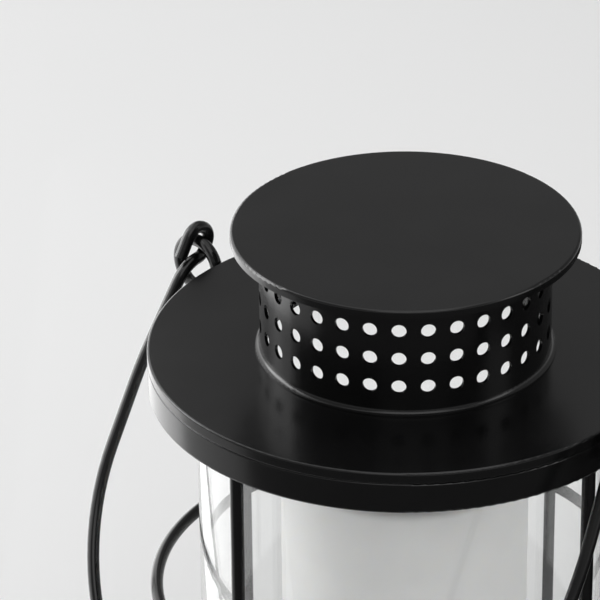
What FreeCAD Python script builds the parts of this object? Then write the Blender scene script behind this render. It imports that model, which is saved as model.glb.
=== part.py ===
import FreeCAD, Part
import math
import os

import Sketcher

# A round candle lantern in painted steel and glass, in millimetres.
# Frame: +Z up, origin on the floor at the centre of the base, -Y is the front.
# Azimuths run from the front towards +X.

doc = FreeCAD.newDocument("CandleLantern")
sheet = doc.addObject("Spreadsheet::Sheet", "Sizes")

SIZES = [
    # lid, band and base share one outline
    ("outline_radius", 80.0, "outer radius of lid, bands and base"),
    ("sheet_metal", 1.2, "thickness of the pressed sheet"),
    ("lid_top", 180.0, "height of the lid's flat top"),
    ("lid_edge_round", 0.7, "outer rounding of the lid's edge"),
    ("lid_edge_depth", 3.6, "height of the lid's turned-down edge"),
    ("vent_radius", 43.0, "radius of the vent in the lid"),
    ("seam_round", 0.45, "rounding that makes the seam under the lid"),
    # spigot under the lid
    ("spigot_radius", 76.9, "outer radius of the locating ring"),
    ("spigot_wall", 1.0, "wall of the locating ring"),
    ("spigot_depth", 6.6, "depth of the locating ring"),
    # perforated collar
    ("collar_radius", 45.1, "outer radius of the collar"),
    ("collar_wall", 1.0, "wall of the collar"),
    ("collar_foot", 1.6, "how far the collar's foot flares out"),
    ("collar_flare", 1.5, "radius of the flare at the foot"),
    ("foot_lip", 0.35, "thickness of the foot's outer edge"),
    ("hole_radius", 2.25, "radius of the vent holes"),
    ("hole_count", 32, "vent holes in a row"),
    ("hole_phase", -4.0, "azimuth of the first hole"),
    ("row_low", 9.6, "lowest row of holes above the lid"),
    ("row_pitch", 9.42, "distance between rows"),
    # cap
    ("cap_radius", 53.8, "radius of the cap"),
    ("cap_top", 220.0, "height of the cap's flat top"),
    ("cap_rim", 2.7, "height of the cap's turned-down rim"),
    ("cap_round", 0.9, "rounding of the cap's edge"),
    # bands
    ("band_height", 10.0, "height of the top and bottom bands"),
    ("hem_round", 0.9, "rounding of the top band's lower edge"),
    # frame
    ("seat_inner", 66.2, "opening of the seat ring"),
    ("seat_height", 168.0, "underside of the seat ring"),
    ("upright_radius", 2.1, "radius of the upright wires"),
    ("upright_circle", 74.9, "radius of the circle of uprights"),
    ("upright_phase", 46.0, "azimuth of the front right upright"),
    ("guard_wire", 2.0, "wire radius of the guard ring"),
    ("guard_circle", 79.0, "centre line radius of the guard ring"),
    ("guard_height", 94.8, "height of the guard ring"),
    # glass
    ("glass_radius", 65.0, "outer radius of the glass"),
    ("glass_wall", 2.5, "wall of the glass"),
    ("glass_top", 173.0, "height of the glass's upper edge"),
    ("glass_edge", 0.8, "rounding of the glass's edges"),
    ("locator_gap", 0.6, "play between the glass and its locating ring"),
    ("locator_wall", 1.2, "wall of the ring that locates the glass"),
    ("locator_height", 5.0, "height of the ring that locates the glass"),
    # candle
    ("candle_radius", 39.3, "radius of the candle"),
    ("candle_height", 140.8, "height of the candle"),
    ("candle_round", 3.0, "rounding of the candle's top edge"),
    ("wick_radius", 0.9, "radius of the wick"),
    ("wick_height", 10.0, "height of the wick"),
    # ears
    ("ear_azimuth", 46.0, "azimuth of the front right ear"),
    ("ear_ring", 8.45, "centre line radius of an ear"),
    ("ear_wire", 2.0, "wire radius of an ear"),
    ("ear_gap", 0.3, "gap between an ear and the band, bridged by the weld"),
    ("ear_height", 175.4, "height of the ears' centres"),
    ("weld_radius", 1.7, "radius of the weld between an ear and the band"),
    ("weld_height", 173.8, "height of the weld"),
    # handle
    ("handle_wire", 2.0, "wire radius of the handle"),
    ("handle_rest", 30.0, "angle of the resting handle from straight down"),
    ("eye_radius", 4.6, "centre line radius of the eye round an ear's wire"),
    ("eye_tail", 7.0, "how far the eye's cut end reaches below the hinge line"),
    ("eye_spread", 5.1, "how far the eye's cut end stands off the hinge line"),
    ("eye_bend", 4.4, "bend radius of the eye"),
    ("eye_back", 4.15, "where the wire leaves the eye, below the hinge line"),
    ("eye_exit_bend", 4.0, "bend radius where the wire leaves the eye"),
    ("leg_top", 8.7, "where a leg starts, below the hinge line"),
    ("leg_top_bend", 9.5, "bend radius at a leg's top"),
    ("leg_near", 89.7, "distance of a leg's top from the middle"),
    ("leg_offset", 2.9, "how far the legs' plane misses the hinge line"),
    ("leg_end", 43.0, "where a leg reaches its full distance"),
    ("leg_bend", 150.0, "radius of a leg's long bend"),
    ("handle_half", 93.2, "half width of the handle"),
    ("handle_drop", 153.8, "hinge line to the middle of the handle"),
    ("handle_corner", 82.4, "radius of the handle's two big bends"),
]

for row, (alias, value, note) in enumerate(SIZES, start=1):
    sheet.set(f"A{row}", alias)
    sheet.set(f"B{row}", str(value))
    sheet.set(f"C{row}", note)
    sheet.setAlias(f"B{row}", alias)
doc.recompute()


def size(alias):
    """The number in the sheet under this alias."""
    return float(getattr(sheet, alias))


def ref(text):
    """An expression in which each {alias} reads the sheet."""
    names = {alias: f"Sizes.{alias}" for alias, _, _ in SIZES}
    return text.format(**names)


def number(text):
    """The value of such an expression, for a sketch's first drawing."""
    total = 0.0
    sign = 1.0
    for word in text.replace("{", " ").replace("}", " ").split():
        if word in "+-":
            sign = 1.0 if word == "+" else -1.0
            continue
        total += sign * (float(word) if word[0].isdigit() else size(word))
    return total


def plane_of(body, role):
    for feature in body.Origin.OriginFeatures:
        if feature.Role == role:
            return feature
    raise RuntimeError(f"no origin plane {role}")


def bind_x(sketch, geometry, point, text):
    """Ties a point's distance from the sketch's vertical axis to the sheet."""
    index = sketch.addConstraint(
        Sketcher.Constraint("DistanceX", -1, 1, geometry, point, number(text))
    )
    sketch.setExpression(f"Constraints[{index}]", ref(text))


def bind_y(sketch, geometry, point, text):
    """Ties a point's height in the sketch to the sheet."""
    index = sketch.addConstraint(
        Sketcher.Constraint("DistanceY", -1, 1, geometry, point, number(text))
    )
    sketch.setExpression(f"Constraints[{index}]", ref(text))


def turned(label, outline):
    """A body revolved about Z from corners given as (radius, height) texts."""
    body = doc.addObject("PartDesign::Body", label)
    body.Label = label
    sketch = body.newObject("Sketcher::SketchObject", label + "_profile")
    sketch.AttachmentSupport = [(plane_of(body, "XZ_Plane"), "")]
    sketch.MapMode = "FlatFace"
    corners = [FreeCAD.Vector(number(r), number(z), 0) for r, z in outline]
    count = len(corners)
    for i in range(count):
        sketch.addGeometry(Part.LineSegment(corners[i], corners[(i + 1) % count]), False)
    for i in range(count):
        sketch.addConstraint(Sketcher.Constraint("Coincident", i, 2, (i + 1) % count, 1))
    for i, (radius, height) in enumerate(outline):
        if number(radius) == 0.0:
            sketch.addConstraint(Sketcher.Constraint("PointOnObject", i, 1, -2))
        else:
            bind_x(sketch, i, 1, radius)
        if number(height) == 0.0:
            sketch.addConstraint(Sketcher.Constraint("PointOnObject", i, 1, -1))
        else:
            bind_y(sketch, i, 1, height)
    turn = body.newObject("PartDesign::Revolution", label + "_turn")
    turn.Profile = sketch
    turn.ReferenceAxis = (sketch, ["V_Axis"])
    turn.Angle = 360.0
    body.Tip = turn
    doc.recompute()
    return body


def ring_edges(shape, radius, height):
    """Names of the circular edges at this radius and height."""
    names = []
    for i, edge in enumerate(shape.Edges, start=1):
        if not isinstance(edge.Curve, Part.Circle):
            continue
        same_radius = abs(edge.Curve.Radius - radius) < 0.01
        same_height = abs(edge.Curve.Center.z - height) < 0.01
        if same_radius and same_height:
            names.append(f"Edge{i}")
    return names


def rounded(body, corners, radius):
    """Rounds the body's circular edges at the given (radius, height) corners."""
    base = body.Tip
    names = []
    for r, z in corners:
        found = ring_edges(base.Shape, number(r), number(z))
        if not found:
            raise RuntimeError(f"{body.Label}: no edge at {r}, {z}")
        names += found
    fillet = body.newObject("PartDesign::Fillet", f"{body.Name}_round_{radius}")
    fillet.Base = (base, names)
    fillet.Radius = size(radius)
    fillet.setExpression("Radius", ref("{" + radius + "}"))
    body.Tip = fillet
    doc.recompute()
    return body


def tube_outline(outer, inner, bottom, top):
    return [(inner, bottom), (outer, bottom), (outer, top), (inner, top)]


parts = []

# ---- lid plate: a disc with a vent and a rounded, turned-down edge ----
OUT = "{outline_radius}"
IN = "{outline_radius} - {sheet_metal}"
LID = "{lid_top}"
UNDER = "{lid_top} - {sheet_metal}"
LID_EDGE = "{lid_top} - {lid_edge_depth}"
lid = turned("lid_plate", [
    ("{vent_radius}", UNDER), ("{vent_radius}", LID), (OUT, LID),
    (OUT, LID_EDGE), (IN, LID_EDGE), (IN, UNDER),
])
rounded(lid, [(OUT, LID)], "lid_edge_round")
rounded(lid, [(OUT, LID_EDGE)], "seam_round")
parts.append(lid)

# ---- locating ring welded under the lid ----
spigot_low = "{lid_top} - {sheet_metal} - {spigot_depth}"
parts.append(turned("lid_locating_ring", tube_outline(
    "{spigot_radius}", "{spigot_radius} - {spigot_wall}", spigot_low, UNDER)))

# ---- cap: a disc with a turned-down rim ----
cap_under = "{cap_top} - {sheet_metal}"
cap_low = "{cap_top} - {cap_rim}"
cap_in = "{cap_radius} - {sheet_metal}"
cap = turned("cap_disc", [
    ("0", cap_under), ("0", "{cap_top}"), ("{cap_radius}", "{cap_top}"),
    ("{cap_radius}", cap_low), (cap_in, cap_low), (cap_in, cap_under),
])
rounded(cap, [("{cap_radius}", "{cap_top}")], "cap_round")
parts.append(cap)

# ---- perforated collar with a flared foot ----
collar_in = "{collar_radius} - {collar_wall}"
foot_out = "{collar_radius} + {collar_foot}"
foot_top = "{lid_top} + {foot_lip}"
collar = turned("chimney_collar", [
    (collar_in, LID), (foot_out, LID), (foot_out, foot_top),
    ("{collar_radius}", foot_top), ("{collar_radius}", cap_under), (collar_in, cap_under),
])
rounded(collar, [("{collar_radius}", foot_top)], "collar_flare")

solid_volume = collar.Tip.Shape.Volume
holes = collar.newObject("Sketcher::SketchObject", "collar_holes")
holes.AttachmentSupport = [(plane_of(collar, "XZ_Plane"), "")]
holes.MapMode = "FlatFace"
ROWS = 3
for row in range(ROWS):
    rise = " ".join(["+ {row_pitch}"] * row)
    height = ("{lid_top} + {row_low} " + rise).strip()
    centre = FreeCAD.Vector(0, number(height), 0)
    circle = holes.addGeometry(
        Part.Circle(centre, FreeCAD.Vector(0, 0, 1), size("hole_radius")), False)
    holes.addConstraint(Sketcher.Constraint("PointOnObject", circle, 3, -2))
    bind_y(holes, circle, 3, height)
    index = holes.addConstraint(
        Sketcher.Constraint("Radius", circle, size("hole_radius")))
    holes.setExpression(f"Constraints[{index}]", ref("{hole_radius}"))
doc.recompute()
pocket = collar.newObject("PartDesign::Pocket", "collar_hole_cut")
pocket.Profile = holes
pocket.Type = 1
collar.Tip = pocket
doc.recompute()
if pocket.Shape.Volume > solid_volume - 1.0:
    pocket.Reversed = True
    doc.recompute()
if pocket.Shape.Volume > solid_volume - 1.0:
    raise RuntimeError("the collar's holes cut nothing")
around = collar.newObject("PartDesign::PolarPattern", "collar_hole_pattern")
around.Originals = [pocket]
around.Axis = (holes, ["V_Axis"])
around.Angle = 360.0
around.Occurrences = int(size("hole_count"))
around.setExpression("Occurrences", ref("{hole_count}"))
collar.Tip = around
collar.Placement = FreeCAD.Placement(
    FreeCAD.Vector(0, 0, 0), FreeCAD.Vector(0, 0, 1), size("hole_phase"))
doc.recompute()
one_cut = solid_volume - pocket.Shape.Volume
all_cuts = solid_volume - around.Shape.Volume
if abs(all_cuts - size("hole_count") * one_cut) > 0.02 * all_cuts:
    raise RuntimeError("the hole pattern is incomplete")
parts.append(collar)

# ---- top band, under the lid's edge ----
band_low = "{lid_top} - {lid_edge_depth} - {band_height}"
top_band = turned("top_band", tube_outline(OUT, IN, band_low, LID_EDGE))
rounded(top_band, [(OUT, LID_EDGE)], "seam_round")
rounded(top_band, [(OUT, band_low)], "hem_round")
parts.append(top_band)

# ---- seat ring inside the top band ----
seat_top = "{seat_height} + {sheet_metal}"
parts.append(turned("seat_ring", tube_outline(
    IN, "{seat_inner}", "{seat_height}", seat_top)))

# ---- base: a plate and a band ----
base_plate = turned("base_plate", [
    ("0", "0"), (OUT, "0"), (OUT, "{sheet_metal}"), ("0", "{sheet_metal}")])
rounded(base_plate, [(OUT, "0")], "seam_round")
parts.append(base_plate)
base_band = turned("base_band", tube_outline(
    OUT, IN, "{sheet_metal}", "{sheet_metal} + {band_height}"))
rounded(base_band, [(OUT, "{sheet_metal} + {band_height}")], "seam_round")
parts.append(base_band)

# ---- uprights: four wires between the base plate and the seat ring ----
UPRIGHTS = [
    ("upright_front_right", 0), ("upright_rear_right", 90),
    ("upright_rear_left", 180), ("upright_front_left", 270),
]
for label, turn in UPRIGHTS:
    wire = doc.addObject("Part::Cylinder", label)
    wire.Label = label
    wire.setExpression("Radius", ref("{upright_radius}"))
    wire.setExpression("Height", ref("{seat_height} - {sheet_metal}"))
    azimuth = ref("({upright_phase} + " + str(turn) + ") * 1 deg")
    wire.setExpression("Placement.Base.x", ref("{upright_circle}") + f" * sin({azimuth})")
    wire.setExpression("Placement.Base.y", ref("-{upright_circle}") + f" * cos({azimuth})")
    wire.setExpression("Placement.Base.z", ref("{sheet_metal}"))
    parts.append(wire)

# ---- guard ring round the uprights ----
guard = doc.addObject("Part::Torus", "guard_ring")
guard.Label = "guard_ring"
guard.setExpression("Radius1", ref("{guard_circle}"))
guard.setExpression("Radius2", ref("{guard_wire}"))
guard.setExpression("Placement.Base.z", ref("{guard_height}"))
parts.append(guard)

# ---- glass cylinder and the ring that locates its foot ----
glass_in = "{glass_radius} - {glass_wall}"
glass = turned("glass_cylinder", tube_outline(
    "{glass_radius}", glass_in, "{sheet_metal}", "{glass_top}"))
rounded(glass, [("{glass_radius}", "{glass_top}"), (glass_in, "{glass_top}")], "glass_edge")
parts.append(glass)
locator_out = "{glass_radius} - {glass_wall} - {locator_gap}"
parts.append(turned("glass_locating_ring", tube_outline(
    locator_out, locator_out + " - {locator_wall}",
    "{sheet_metal}", "{sheet_metal} + {locator_height}")))

# ---- candle and wick ----
candle_top = "{sheet_metal} + {candle_height}"
candle = turned("candle", [
    ("0", "{sheet_metal}"), ("{candle_radius}", "{sheet_metal}"),
    ("{candle_radius}", candle_top), ("0", candle_top)])
rounded(candle, [("{candle_radius}", candle_top)], "candle_round")
parts.append(candle)
wick = doc.addObject("Part::Cylinder", "candle_wick")
wick.Label = "candle_wick"
wick.setExpression("Radius", ref("{wick_radius}"))
wick.setExpression("Height", ref("{wick_height}"))
wick.setExpression("Placement.Base.z", ref("{sheet_metal} + {candle_height}"))
parts.append(wick)

# ---- directions: along the hinge line, and towards the resting handle ----
ear_turn = math.radians(size("ear_azimuth"))
hinge = FreeCAD.Vector(math.sin(ear_turn), -math.cos(ear_turn), 0)
forward = FreeCAD.Vector(-math.cos(ear_turn), -math.sin(ear_turn), 0)
up = FreeCAD.Vector(0, 0, 1)
ear_reach = (size("outline_radius") + size("ear_gap") + size("ear_wire")
             + size("ear_ring"))
hinge_centre = up * (size("ear_height") + size("ear_ring"))

# ---- ears: an upright ring, edge on to the band, and the weld that holds it ----
for label, side in (("ear_front_right", 1), ("ear_rear_left", -1)):
    outward = hinge * side
    loop = doc.addObject("Part::Torus", label + "_loop")
    loop.setExpression("Radius1", ref("{ear_ring}"))
    loop.setExpression("Radius2", ref("{ear_wire}"))
    loop.Placement = FreeCAD.Placement(
        outward * ear_reach + up * size("ear_height"), FreeCAD.Rotation(up, forward))
    weld = doc.addObject("Part::Cylinder", label + "_weld")
    weld.setExpression("Radius", ref("{weld_radius}"))
    weld.setExpression("Height", ref("{sheet_metal} + {ear_gap} + {ear_wire}"))
    weld.Placement = FreeCAD.Placement(
        outward * (size("outline_radius") - size("sheet_metal"))
        + up * size("weld_height"), FreeCAD.Rotation(up, outward))
    joined = doc.addObject("Part::Fuse", label + "_joined")
    joined.Base = loop
    joined.Tool = weld
    core = doc.addObject("Part::Cylinder", label + "_core")
    core.setExpression("Radius", ref("{outline_radius}"))
    core.setExpression("Height", ref("{lid_top}"))
    ear = doc.addObject("Part::Cut", label)
    ear.Label = label
    ear.Base = joined
    ear.Tool = core
    parts.append(ear)
doc.recompute()


# ---- handle: one wire, bent into a bow with an eye at each end ----
rest = math.radians(size("handle_rest"))
down = forward * math.sin(rest) - up * math.cos(rest)
across = forward * math.cos(rest) + up * math.sin(rest)


def handle_point(along, offset, below):
    """A point from its distance along the hinge, off the plane and below."""
    return hinge_centre + hinge * along + across * offset + down * below


def half_route(side):
    """Corners and bend radii of one half, from the eye's cut end to the bow."""
    eye = size("eye_radius")
    bend = size("eye_bend")
    offset = size("leg_offset")
    half = size("handle_half")
    route = [
        (ear_reach, size("eye_spread"), size("eye_tail"), 0),
        (ear_reach, eye, -eye, bend),
        (ear_reach, -eye, -eye, bend),
        (ear_reach, -eye, size("eye_back"), size("eye_exit_bend")),
        (size("leg_near"), offset, size("leg_top"), size("leg_top_bend")),
        (half, offset, size("leg_end"), size("leg_bend")),
        (half, offset, size("handle_drop"), size("handle_corner")),
    ]
    return [(handle_point(side * a, o, b), r) for a, o, b, r in route]


def bent_wire(route):
    """Straight runs joined by tangent arcs through (corner, radius) pairs."""
    edges = []
    last = route[0][0]
    for i in range(1, len(route) - 1):
        corner, radius = route[i]
        back = (route[i - 1][0] - corner).normalize()
        ahead = (route[i + 1][0] - corner).normalize()
        angle = back.getAngle(ahead)
        trim = radius / math.tan(angle / 2)
        start = corner + back * trim
        end = corner + ahead * trim
        middle = (back + ahead).normalize()
        dip = radius / math.sin(angle / 2) - radius
        if (start - last).Length > 1e-4:
            edges.append(Part.LineSegment(last, start).toShape())
        edges.append(Part.Arc(start, corner + middle * dip, end).toShape())
        last = end
    edges.append(Part.LineSegment(last, route[-1][0]).toShape())
    return Part.Wire(edges)


route = half_route(1) + half_route(-1)[::-1]
spine = bent_wire(route)
start_point = route[0][0]
direction = (route[1][0] - route[0][0]).normalize()
ring_profile = Part.Wire([Part.makeCircle(size("handle_wire"), start_point, direction)])
handle = doc.addObject("Part::Feature", "handle")
handle.Label = "handle"
handle.Shape = spine.makePipeShell([ring_profile], True, False)
expected = math.pi * size("handle_wire") ** 2 * spine.Length
print("handle: wire length %.1f, volume %.1f of %.1f" % (
    spine.Length, handle.Shape.Volume, expected))
if abs(handle.Shape.Volume - expected) > 0.01 * expected:
    raise RuntimeError("the handle's sweep has the wrong volume")
parts.append(handle)

doc.recompute()

# ---- checks, then one STEP file for each piece ----
for item in doc.Objects:
    if "Invalid" in item.State or "Error" in item.State:
        raise RuntimeError(f"{item.Name} failed: {item.State}")
os.makedirs("parts", exist_ok=True)
for item in parts:
    shape = item.Shape
    if shape.isNull() or not shape.isValid() or len(shape.Solids) != 1:
        raise RuntimeError(f"{item.Label}: bad shape")
    shape.exportStep(f"parts/{item.Label}.step")
    box = shape.BoundBox
    print("%-22s %9.1f mm3  x %7.2f %7.2f  y %7.2f %7.2f  z %7.2f %7.2f" % (
        item.Label, shape.Volume, box.XMin, box.XMax, box.YMin, box.YMax,
        box.ZMin, box.ZMax))
print(len(parts), "pieces")
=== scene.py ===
"""The candle lantern's looks: powder-coated steel, clear glass, a wax candle and a braided wick."""

import math

import bpy
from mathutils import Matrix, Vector, noise


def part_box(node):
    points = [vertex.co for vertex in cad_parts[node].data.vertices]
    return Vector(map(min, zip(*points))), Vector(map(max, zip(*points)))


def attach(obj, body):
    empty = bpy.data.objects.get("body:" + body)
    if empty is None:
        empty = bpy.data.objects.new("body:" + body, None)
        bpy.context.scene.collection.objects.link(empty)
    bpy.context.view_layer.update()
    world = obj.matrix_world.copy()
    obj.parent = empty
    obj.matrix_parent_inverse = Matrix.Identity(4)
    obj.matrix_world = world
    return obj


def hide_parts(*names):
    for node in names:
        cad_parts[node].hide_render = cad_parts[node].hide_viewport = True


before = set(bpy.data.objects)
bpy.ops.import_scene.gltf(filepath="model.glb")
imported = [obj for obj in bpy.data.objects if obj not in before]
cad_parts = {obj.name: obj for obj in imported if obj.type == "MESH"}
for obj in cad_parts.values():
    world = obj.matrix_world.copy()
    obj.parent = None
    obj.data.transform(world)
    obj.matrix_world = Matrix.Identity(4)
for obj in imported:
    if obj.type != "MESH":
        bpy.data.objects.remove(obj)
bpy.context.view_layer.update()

BODY = "frame"
REPLACED = ("candle", "candle_wick")
LANTERN_MIDDLE = (0.0, 0.0, 0.16)


# ---------------------------------------------------------------- node helpers

def new_material(name):
    """A new node material, its node tree and its Principled shader."""
    material = bpy.data.materials.new(name)
    material.use_nodes = True
    tree = material.node_tree
    shader = tree.nodes["Principled BSDF"]
    return material, tree, shader


def object_coords(tree):
    return tree.nodes.new("ShaderNodeTexCoord").outputs["Object"]


def noise_node(tree, coords, scale, detail=3.0, roughness=0.5, distortion=0.0):
    """A noise pattern with about `scale` features in each metre."""
    node = tree.nodes.new("ShaderNodeTexNoise")
    node.inputs["Scale"].default_value = scale
    node.inputs["Detail"].default_value = detail
    node.inputs["Roughness"].default_value = roughness
    node.inputs["Distortion"].default_value = distortion
    tree.links.new(coords, node.inputs["Vector"])
    return node.outputs["Fac"]


def stretched(tree, coords, factors):
    """Coordinates scaled by a factor along each axis."""
    node = tree.nodes.new("ShaderNodeMapping")
    node.inputs["Scale"].default_value = factors
    tree.links.new(coords, node.inputs["Vector"])
    return node.outputs["Vector"]


def value_between(tree, fac, low, high, start=0.0, end=1.0):
    """A number that goes from low to high as fac goes from start to end."""
    node = tree.nodes.new("ShaderNodeMapRange")
    node.inputs["From Min"].default_value = start
    node.inputs["From Max"].default_value = end
    node.inputs["To Min"].default_value = low
    node.inputs["To Max"].default_value = high
    tree.links.new(fac, node.inputs["Value"])
    return node.outputs["Result"]


def colour_between(tree, fac, stops):
    """A colour ramp; stops are (position, (r, g, b))."""
    node = tree.nodes.new("ShaderNodeValToRGB")
    ramp = node.color_ramp
    while len(ramp.elements) < len(stops):
        ramp.elements.new(0.5)
    for element, (place, colour) in zip(ramp.elements, stops):
        element.position = place
        element.color = (*colour, 1.0)
    tree.links.new(fac, node.inputs["Fac"])
    return node.outputs["Color"]


def bump(tree, height, distance, strength=1.0, below=None):
    """A bump of `distance` metres; below is the normal of a coarser bump under it."""
    node = tree.nodes.new("ShaderNodeBump")
    node.inputs["Distance"].default_value = distance
    node.inputs["Strength"].default_value = strength
    tree.links.new(height, node.inputs["Height"])
    if below is not None:
        tree.links.new(below, node.inputs["Normal"])
    return node.outputs["Normal"]


# ---------------------------------------------------------------- materials

def coat_material():
    """Satin black powder coat: a faint orange peel, fine pores and uneven gloss."""
    material, tree, shader = new_material("powder_coat_black")
    coords = object_coords(tree)
    cloud = noise_node(tree, coords, 45.0, detail=4.0)
    grain = noise_node(tree, coords, 2600.0, detail=2.0)
    peel = noise_node(tree, coords, 520.0, detail=2.0, roughness=0.4)
    deep, pale = (0.0022, 0.0022, 0.0023), (0.0034, 0.0034, 0.0035)
    tint = colour_between(tree, cloud, [(0.3, deep), (0.7, pale)])
    tree.links.new(tint, shader.inputs["Base Color"])
    gloss = value_between(tree, cloud, 0.20, 0.25, 0.3, 0.7)
    tree.links.new(gloss, shader.inputs["Roughness"])
    shader.inputs["IOR"].default_value = 1.5
    shader.inputs["Specular IOR Level"].default_value = 0.42
    coarse = bump(tree, peel, 0.00001, strength=0.6)
    fine = bump(tree, grain, 0.000002, strength=0.6, below=coarse)
    tree.links.new(fine, shader.inputs["Normal"])
    return material


def glass_material():
    """Clear drawn glass that bends what is behind it, with faint ripples and smears.

    Shadow and diffuse rays pass straight through, so that the lamps light the candle.
    """
    material, tree, shader = new_material("glass_clear")
    nodes, links = tree.nodes, tree.links
    output = nodes["Material Output"]
    nodes.remove(shader)
    coords = object_coords(tree)
    drawn = noise_node(tree, stretched(tree, coords, (60.0, 60.0, 6.0)), 1.0, detail=2.0)
    smear = noise_node(tree, coords, 28.0, detail=5.0, roughness=0.6, distortion=0.4)

    glass = nodes.new("ShaderNodeBsdfGlass")
    glass.inputs["Color"].default_value = (0.998, 1.0, 0.999, 1.0)
    glass.inputs["IOR"].default_value = 1.5
    links.new(value_between(tree, smear, 0.0, 0.015, 0.45, 0.8), glass.inputs["Roughness"])
    links.new(bump(tree, drawn, 0.00003, strength=0.3), glass.inputs["Normal"])
    veil = nodes.new("ShaderNodeBsdfDiffuse")
    veil.inputs["Color"].default_value = (0.85, 0.86, 0.86, 1.0)
    seen = nodes.new("ShaderNodeMixShader")
    links.new(value_between(tree, smear, 0.004, 0.018, 0.3, 0.8), seen.inputs["Fac"])
    links.new(glass.outputs[0], seen.inputs[1])
    links.new(veil.outputs[0], seen.inputs[2])

    clear = nodes.new("ShaderNodeBsdfTransparent")
    clear.inputs["Color"].default_value = (0.975, 0.978, 0.976, 1.0)
    path = nodes.new("ShaderNodeLightPath")
    passing = nodes.new("ShaderNodeMath")
    passing.operation = "MAXIMUM"
    links.new(path.outputs["Is Shadow Ray"], passing.inputs[0])
    links.new(path.outputs["Is Diffuse Ray"], passing.inputs[1])
    both = nodes.new("ShaderNodeMixShader")
    links.new(passing.outputs[0], both.inputs["Fac"])
    links.new(seen.outputs[0], both.inputs[1])
    links.new(clear.outputs[0], both.inputs[2])
    links.new(both.outputs[0], output.inputs["Surface"])
    return material


def wax_material():
    """Ivory-white paraffin: light sinks in a few millimetres, with a bloom and faint mottling."""
    material, tree, shader = new_material("candle_wax")
    coords = object_coords(tree)
    mottle = noise_node(tree, coords, 90.0, detail=5.0, roughness=0.55)
    bloom = noise_node(tree, coords, 900.0, detail=3.0)
    tint = colour_between(tree, mottle, [(0.3, (0.88, 0.878, 0.87)), (0.7, (0.93, 0.928, 0.92))])
    tree.links.new(tint, shader.inputs["Base Color"])
    tree.links.new(value_between(tree, bloom, 0.42, 0.58, 0.3, 0.7), shader.inputs["Roughness"])
    shader.inputs["IOR"].default_value = 1.44
    shader.inputs["Subsurface Weight"].default_value = 0.35
    shader.inputs["Subsurface Radius"].default_value = (1.0, 0.9, 0.75)
    shader.inputs["Subsurface Scale"].default_value = 0.004
    tree.links.new(bump(tree, mottle, 0.0001, strength=0.5), shader.inputs["Normal"])
    return material


def wick_material():
    """Unburnt cotton, waxed off-white, with fibres along its strands."""
    material, tree, shader = new_material("cotton_wick")
    coords = object_coords(tree)
    fibres = noise_node(tree, stretched(tree, coords, (6000.0, 6000.0, 700.0)), 1.0, detail=4.0)
    tint = colour_between(tree, fibres, [(0.3, (0.55, 0.52, 0.46)), (0.7, (0.80, 0.78, 0.72))])
    tree.links.new(tint, shader.inputs["Base Color"])
    tree.links.new(value_between(tree, fibres, 0.75, 0.95), shader.inputs["Roughness"])
    shader.inputs["Sheen Weight"].default_value = 0.3
    tree.links.new(bump(tree, fibres, 0.00008, strength=0.8), shader.inputs["Normal"])
    return material


def floor_material():
    """A pale matt studio floor."""
    material, tree, shader = new_material("studio_floor")
    coords = object_coords(tree)
    mottle = noise_node(tree, coords, 3.0, detail=3.0)
    tint = colour_between(tree, mottle, [(0.3, (0.827, 0.827, 0.827)), (0.7, (0.837, 0.837, 0.837))])
    tree.links.new(tint, shader.inputs["Base Color"])
    shader.inputs["Roughness"].default_value = 0.9
    shader.inputs["Specular IOR Level"].default_value = 0.1
    return material


def paint(obj, material):
    """Gives the object this material alone."""
    obj.data.materials.clear()
    obj.data.materials.append(material)
    return obj


# ---------------------------------------------------------------- pieces

def mesh_object(name, points, faces, smooth=True):
    """A mesh object in the scene, from its points and faces."""
    mesh = bpy.data.meshes.new(name)
    mesh.from_pydata(points, [], faces)
    mesh.update()
    if smooth:
        mesh.shade_smooth()
    else:
        mesh.shade_flat()
    obj = bpy.data.objects.new(name, mesh)
    bpy.context.collection.objects.link(obj)
    return obj


def lathe(name, outline, turns, shape=None):
    """A closed turned shape. outline runs from the axis at the bottom to the axis at the top."""
    inner = outline[1:-1]
    points = [Vector((0.0, 0.0, outline[0][1]))]
    for radius, height in inner:
        for k in range(turns):
            angle = 2.0 * math.pi * k / turns
            point = Vector((radius * math.cos(angle), radius * math.sin(angle), height))
            points.append(shape(point) if shape else point)
    points.append(Vector((0.0, 0.0, outline[-1][1])))
    top = len(points) - 1
    faces = []
    for k in range(turns):
        after = (k + 1) % turns
        faces.append((0, 1 + after, 1 + k))
        for row in range(len(inner) - 1):
            low = 1 + row * turns
            high = low + turns
            faces.append((low + k, low + after, high + after, high + k))
        last = 1 + (len(inner) - 1) * turns
        faces.append((last + k, last + after, top))
    return mesh_object(name, points, faces)


def candle_outline(radius, bottom, top):
    """A pillar candle: soft edges, and a top that dips slightly towards the wick."""
    edge = 0.003
    dip = 0.0006
    steps, rows, rings = 6, 40, 10
    flat = radius - edge
    outline = [(0.0, bottom), (radius * 0.5, bottom)]
    for k in range(steps + 1):
        turn = math.pi / 2 * k / steps
        outline.append((flat + edge * math.sin(turn), bottom + edge - edge * math.cos(turn)))
    for k in range(1, rows):
        outline.append((radius, bottom + edge + (top - bottom - 2 * edge) * k / rows))
    for k in range(steps + 1):
        turn = math.pi / 2 * k / steps
        outline.append((flat + edge * math.cos(turn), top - edge + edge * math.sin(turn)))
    for k in range(rings - 1, 0, -1):
        share = k / rings
        sink = dip * (0.5 + 0.5 * math.cos(math.pi * share))
        outline.append((flat * share, top - sink))
    outline.append((0.0, top - dip))
    return outline


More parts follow.
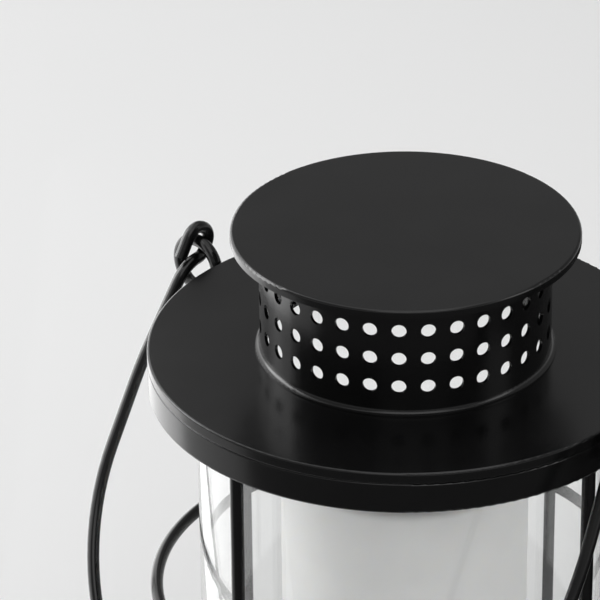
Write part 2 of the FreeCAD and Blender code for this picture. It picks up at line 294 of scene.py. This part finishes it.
def build_candle(material):
    """The candle, with sides that are slightly out of true and stay inside the plain one."""
    low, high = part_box("candle")
    radius = (high.x - low.x) / 2
    turns = 160
    inset, broad, narrow = 0.0003, 0.00022, 0.00006
    broad_scale, narrow_scale = 22.0, 90.0

    def uneven(point):
        sway = noise.noise(point * broad_scale) * broad + noise.noise(point * narrow_scale) * narrow
        out = Vector((point.x, point.y, 0.0))
        return point + out.normalized() * (sway - inset)

    candle = lathe("candle_pillar", candle_outline(radius, low.z, high.z), turns, uneven)
    paint(candle, material)
    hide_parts("candle")
    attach(candle, BODY)


def build_wick(material):
    """Three plaited cotton strands that start a little below the wax, in the plain wick's place."""
    low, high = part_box("candle_wick")
    reach = (high.x - low.x) / 2
    strand = reach * 0.52
    swing = reach - strand
    depth_share = 0.6
    sunk = 0.0015
    start, length = low.z - sunk, high.z - low.z + sunk
    pitch = 0.0048
    strands, sides, steps = 3, 10, 72
    tip_steps, tip_share = 3, 0.82
    points, faces = [], []
    for number in range(strands):
        phase = 2.0 * math.pi * number / strands
        base = len(points)
        for k in range(steps + 1):
            height = length * k / steps
            turn = 2.0 * math.pi * height / pitch + phase
            aside = swing * math.cos(turn)
            deep = swing * math.sin(turn * 2) * depth_share
            centre = Vector((aside, deep, start + height))
            thick = strand * (1.0 if k < steps - tip_steps else tip_share)
            for side in range(sides):
                angle = 2.0 * math.pi * side / sides
                out = Vector((math.cos(angle), math.sin(angle), 0.0))
                points.append(centre + out * thick)
        for k in range(steps):
            for side in range(sides):
                after = (side + 1) % sides
                low_ring = base + k * sides
                high_ring = low_ring + sides
                faces.append((low_ring + side, low_ring + after, high_ring + after, high_ring + side))
        faces.append(tuple(base + side for side in reversed(range(sides))))
        faces.append(tuple(base + steps * sides + side for side in range(sides)))
    wick = mesh_object("wick_braid", points, faces)
    paint(wick, material)
    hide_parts("candle_wick")
    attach(wick, BODY)


def dress_cad_nodes(coat, glass):
    """The steel and glass keep their CAD shapes and get the real surfaces."""
    for name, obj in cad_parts.items():
        if name in REPLACED:
            continue
        paint(obj, glass if name == "glass_cylinder" else coat)


# ---------------------------------------------------------------- stage, light and camera

def level_card(name, left, near, right, far, height):
    """A flat level rectangle."""
    corners = [(left, near, height), (right, near, height), (right, far, height), (left, far, height)]
    return mesh_object(name, corners, [(0, 1, 2, 3)], smooth=False)


def build_floor(material):
    """A square floor, small enough that only its far corners are dark in low views."""
    half = 2.4
    floor = level_card("studio_floor_plane", -half, -half, half, half, 0.0)
    paint(floor, material)


def flag_material(name, low, high):
    """Matt felt between two greys."""
    material, tree, shader = new_material(name)
    felt = noise_node(tree, object_coords(tree), 400.0)
    tint = colour_between(tree, felt, [(0.3, (low,) * 3), (0.7, (high,) * 3)])
    tree.links.new(tint, shader.inputs["Base Color"])
    shader.inputs["Roughness"].default_value = 1.0
    shader.inputs["Specular IOR Level"].default_value = 0.0
    return material


# A card's near left and far right corners, and the two greys of its felt.
FLAGS = {
    "front": ((-1.4, -2.2), (1.4, -0.13), (0.12, 0.15)),
    "right": ((0.14, -0.13), (1.8, 0.45), (0.03, 0.045)),
}


def build_flags():
    """A grey card in front and a dark one at the right, just above the floor.

    Only the gloss of the lantern sees them, and they keep its front and its right side dark.
    """
    height = 0.004
    for side, ((left, near), (right, far), greys) in FLAGS.items():
        flag = level_card("studio_flag_" + side, left, near, right, far, height)
        paint(flag, flag_material("flag_" + side, *greys))
        flag.visible_camera = False
        flag.visible_diffuse = False
        flag.visible_shadow = False
        flag.visible_transmission = False


def softbox(name, place, target, width, height, power):
    """A rectangular soft light of so many watts that faces the target and isn't itself in view."""
    light = bpy.data.lights.new(name, "AREA")
    light.shape = "RECTANGLE"
    light.size = width
    light.size_y = height
    light.energy = power
    obj = bpy.data.objects.new(name, light)
    bpy.context.collection.objects.link(obj)
    obj.location = place
    aim = Vector(target) - Vector(place)
    obj.rotation_euler = aim.to_track_quat("-Z", "Y").to_euler()
    obj.visible_camera = False
    obj.visible_transmission = False
    return obj


def build_world():
    """An even studio, palest at the horizon and greyer above."""
    world = bpy.data.worlds.new("studio")
    bpy.context.scene.world = world
    world.use_nodes = True
    tree = world.node_tree
    coords = tree.nodes.new("ShaderNodeTexCoord").outputs["Generated"]
    split = tree.nodes.new("ShaderNodeSeparateXYZ")
    tree.links.new(coords, split.inputs[0])
    horizon, low, above = (0.76,) * 3, (0.31,) * 3, (0.30,) * 3
    grey = colour_between(tree, split.outputs["Z"], [(0.0, horizon), (0.30, low), (0.9, above)])
    tree.links.new(grey, tree.nodes["Background"].inputs["Color"])


# Name, place, what it faces, width, height and watts.
SOFTBOXES = [
    ("softbox_left", (-1.7, 0.75, 0.95), LANTERN_MIDDLE, 1.0, 1.5, 26.0),
    ("softbox_top", (0.0, 0.2, 2.6), LANTERN_MIDDLE, 2.6, 2.6, 18.5),
    ("softbox_front", (0.15, -1.5, 1.9), LANTERN_MIDDLE, 1.8, 1.6, 12.0),
    ("softbox_right", (2.1, -0.6, 1.2), LANTERN_MIDDLE, 0.9, 1.4, 8.0),
]


def build_lights():
    """Soft lights all round, and one close behind the left side that only shows in gloss and glass."""
    for box in SOFTBOXES:
        softbox(*box)
    edge = softbox("softbox_edge", (-0.14, 0.25, 0.25), (0.0, 0.25, 0.25), 0.506, 0.5, 1.2)
    edge.visible_diffuse = False


CAMERA_PLACE = (-0.03245, -1.13992, 0.80512)
CAMERA_TILT = 61.8588
CAMERA_ROLL = 0.4938
CAMERA_AZIMUTH = -0.2641
CAMERA_LENS = 251.91


def build_camera():
    """A long lens that looks down on the lantern's lid by about 28 degrees."""
    camera = bpy.data.cameras.new("camera")
    camera.lens = CAMERA_LENS
    camera.sensor_width = 36.0
    camera.clip_start = 0.05
    camera.clip_end = 50.0
    obj = bpy.data.objects.new("camera", camera)
    bpy.context.collection.objects.link(obj)
    obj.location = CAMERA_PLACE
    obj.rotation_euler = [math.radians(angle) for angle in (CAMERA_TILT, CAMERA_ROLL, CAMERA_AZIMUTH)]
    bpy.context.scene.camera = obj


coat = coat_material()
dress_cad_nodes(coat, glass_material())
build_candle(wax_material())
build_wick(wick_material())
build_floor(floor_material())
build_flags()
build_world()
build_lights()
build_camera()
bpy.context.scene.view_settings.view_transform = "Standard"
